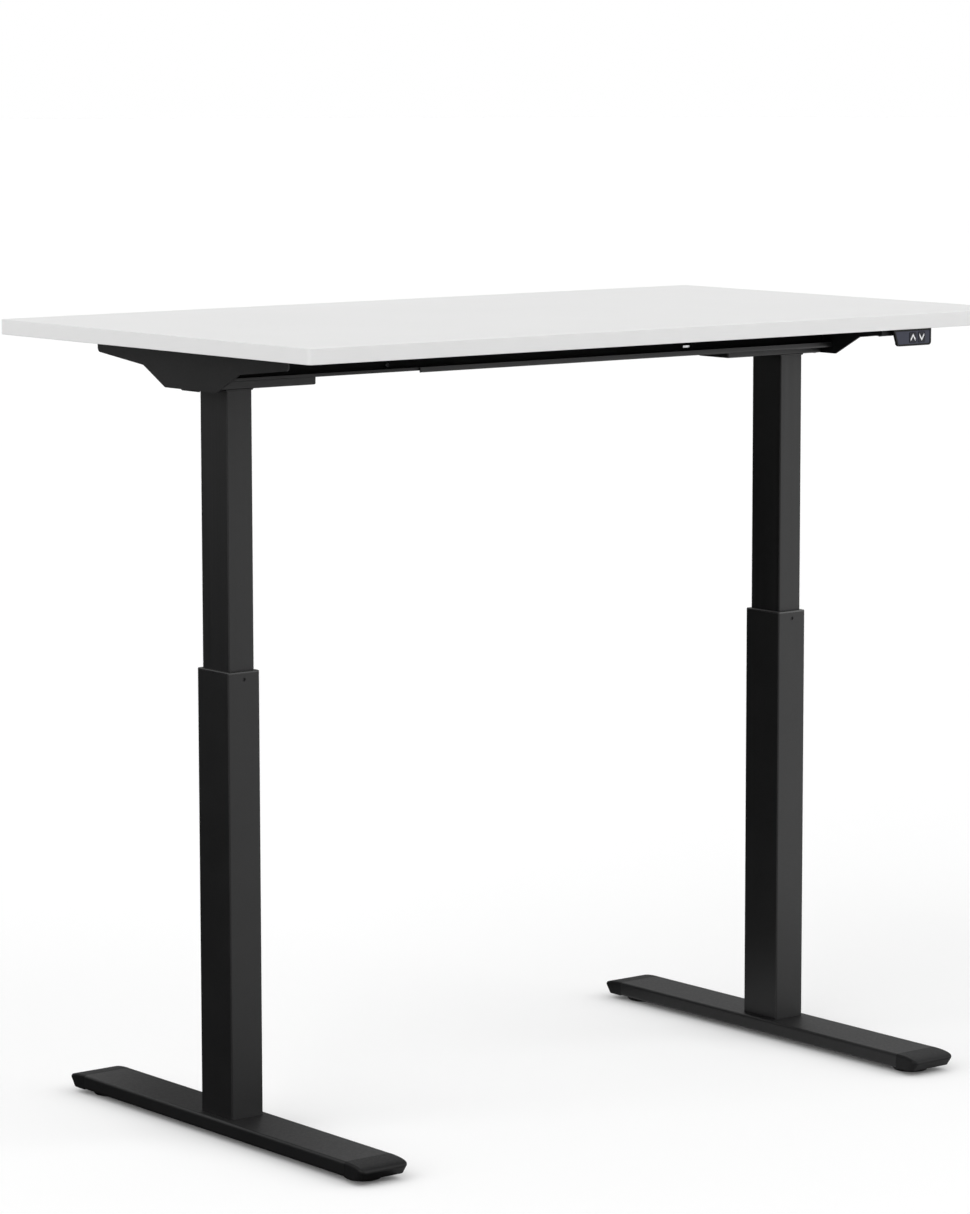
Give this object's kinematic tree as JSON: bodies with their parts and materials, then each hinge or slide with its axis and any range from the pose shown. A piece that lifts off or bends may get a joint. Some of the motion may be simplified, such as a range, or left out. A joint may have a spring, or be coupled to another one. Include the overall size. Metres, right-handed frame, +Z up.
{
  "type": "height adjustable standing desk",
  "caption": "Electric standing desk: white rectangular top on black telescoping steel legs with flat feet, flared side brackets and a small keypad under the front edge.",
  "frame": {"origin": "on the floor, under the middle of the desktop", "axes": "+X along the desk to the user's right, the user at -Y, +Z up"},
  "size_m": [1.2, 0.7, 1.06],
  "materials": {
    "powder_coat": "satin black powder coat with a fine texture",
    "moulded_plastic": "moulded black plastic",
    "glide_plastic": "natural slide plastic",
    "pad_rubber": "black rubber",
    "zinc_steel": "bright zinc plating",
    "black_screw": "black oxide",
    "plain_steel": "ground steel",
    "motor_can": "dull plated steel",
    "cast_alloy": "die cast",
    "circuit_board": "green solder mask",
    "keypad_gloss": "glossy slate panel",
    "button_gloss": "glossy dark plastic",
    "board_white": "white melamine faced board",
    "band_white": "white plastic edge band"
  },
  "bodies": {
    "base": {"left_foot_beam": "powder_coat", "right_foot_beam": "powder_coat", "left_front_foot_cap": "moulded_plastic", "left_rear_foot_cap": "moulded_plastic", "right_front_foot_cap": "moulded_plastic", "right_rear_foot_cap": "moulded_plastic", "leveller_inserts": "zinc_steel", "base_plates": "plain_steel", "foot_bolts": "zinc_steel", "left_outer_tube": "powder_coat", "right_outer_tube": "powder_coat", "left_tube_collar": "moulded_plastic", "right_tube_collar": "moulded_plastic", "collar_screws": "black_screw", "left_push_tube": "plain_steel", "right_push_tube": "plain_steel", "drive_nuts": "glide_plastic"},
    "top_frame": {"left_inner_tube": "powder_coat", "right_inner_tube": "powder_coat", "left_tube_glide": "glide_plastic", "right_tube_glide": "glide_plastic", "spindle_bearings": "plain_steel", "left_motor": "motor_can", "right_motor": "motor_can", "left_gearbox": "cast_alloy", "right_gearbox": "cast_alloy", "left_gearbox_cover": "cast_alloy", "right_gearbox_cover": "cast_alloy", "gearbox_screws": "zinc_steel", "left_head_box": "powder_coat", "right_head_box": "powder_coat", "left_side_bracket": "powder_coat", "right_side_bracket": "powder_coat", "front_rail_inner": "powder_coat", "front_rail_outer": "powder_coat", "rear_rail_inner": "powder_coat", "rear_rail_outer": "powder_coat", "rail_screws": "zinc_steel", "control_box": "moulded_plastic", "control_lid": "moulded_plastic", "control_board": "circuit_board", "keypad_housing": "moulded_plastic", "keypad_panel": "keypad_gloss", "keypad_board": "circuit_board", "desktop": "board_white", "edge_band": "band_white", "desktop_screws": "zinc_steel"},
    "left_spindle_drive": {"left_spindle": "plain_steel", "left_spindle_gear": "plain_steel"},
    "left_motor_drive": {"left_motor_pinion": "plain_steel"},
    "right_spindle_drive": {"right_spindle": "plain_steel", "right_spindle_gear": "plain_steel"},
    "right_motor_drive": {"right_motor_pinion": "plain_steel"},
    "up_button": {"keypad_up_button": "button_gloss"},
    "down_button": {"keypad_down_button": "button_gloss"},
    "left_front_leveller": {"left_front_leveller": "pad_rubber"},
    "left_rear_leveller": {"left_rear_leveller": "pad_rubber"},
    "right_front_leveller": {"right_front_leveller": "pad_rubber"},
    "right_rear_leveller": {"right_rear_leveller": "pad_rubber"}
  },
  "joints": [
    {"name": "lift", "type": "slide", "parent": "base", "child": "top_frame", "axis": [0, 0, 1], "range_m": [-0.34, 0.13]},
    {"name": "left_spindle_turn", "type": "hinge", "parent": "top_frame", "child": "left_spindle_drive", "pos_m": [-0.476, 0.005, 0.985], "axis": [0, 0, 1], "range_deg": [-7660, 2940]},
    {"name": "left_motor_turn", "type": "hinge", "parent": "top_frame", "child": "left_motor_drive", "pos_m": [-0.476, 0.005, 1.012], "axis": [1, 0, 0], "range_deg": [-15320, 5880]},
    {"name": "right_spindle_turn", "type": "hinge", "parent": "top_frame", "child": "right_spindle_drive", "pos_m": [0.476, 0.005, 0.985], "axis": [0, 0, 1], "range_deg": [-7660, 2940]},
    {"name": "right_motor_turn", "type": "hinge", "parent": "top_frame", "child": "right_motor_drive", "pos_m": [0.476, 0.005, 1.012], "axis": [-1, 0, 0], "range_deg": [-15320, 5880]},
    {"name": "up_button_press", "type": "slide", "parent": "top_frame", "child": "up_button", "axis": [0, 1, 0], "range_m": [0, 0.0008], "stiffness_N_per_m": 2500},
    {"name": "down_button_press", "type": "slide", "parent": "top_frame", "child": "down_button", "axis": [0, 1, 0], "range_m": [0, 0.0008], "stiffness_N_per_m": 2500},
    {"name": "left_front_leveller_turn", "type": "hinge", "parent": "base", "child": "left_front_leveller", "pos_m": [-0.476, -0.283, 0], "axis": [0, 0, -1], "range_deg": [0, 1440]},
    {"name": "left_rear_leveller_turn", "type": "hinge", "parent": "base", "child": "left_rear_leveller", "pos_m": [-0.476, 0.293, 0], "axis": [0, 0, -1], "range_deg": [0, 1440]},
    {"name": "right_front_leveller_turn", "type": "hinge", "parent": "base", "child": "right_front_leveller", "pos_m": [0.476, -0.283, 0], "axis": [0, 0, -1], "range_deg": [0, 1440]},
    {"name": "right_rear_leveller_turn", "type": "hinge", "parent": "base", "child": "right_rear_leveller", "pos_m": [0.476, 0.293, 0], "axis": [0, 0, -1], "range_deg": [0, 1440]}
  ],
  "couplings": [
    {"joint": "left_spindle_turn", "follows": "lift", "rad_per_m": 392.7},
    {"joint": "left_motor_turn", "follows": "lift", "rad_per_m": 785.4},
    {"joint": "right_spindle_turn", "follows": "lift", "rad_per_m": 392.7},
    {"joint": "right_motor_turn", "follows": "lift", "rad_per_m": 785.4}
  ]
}
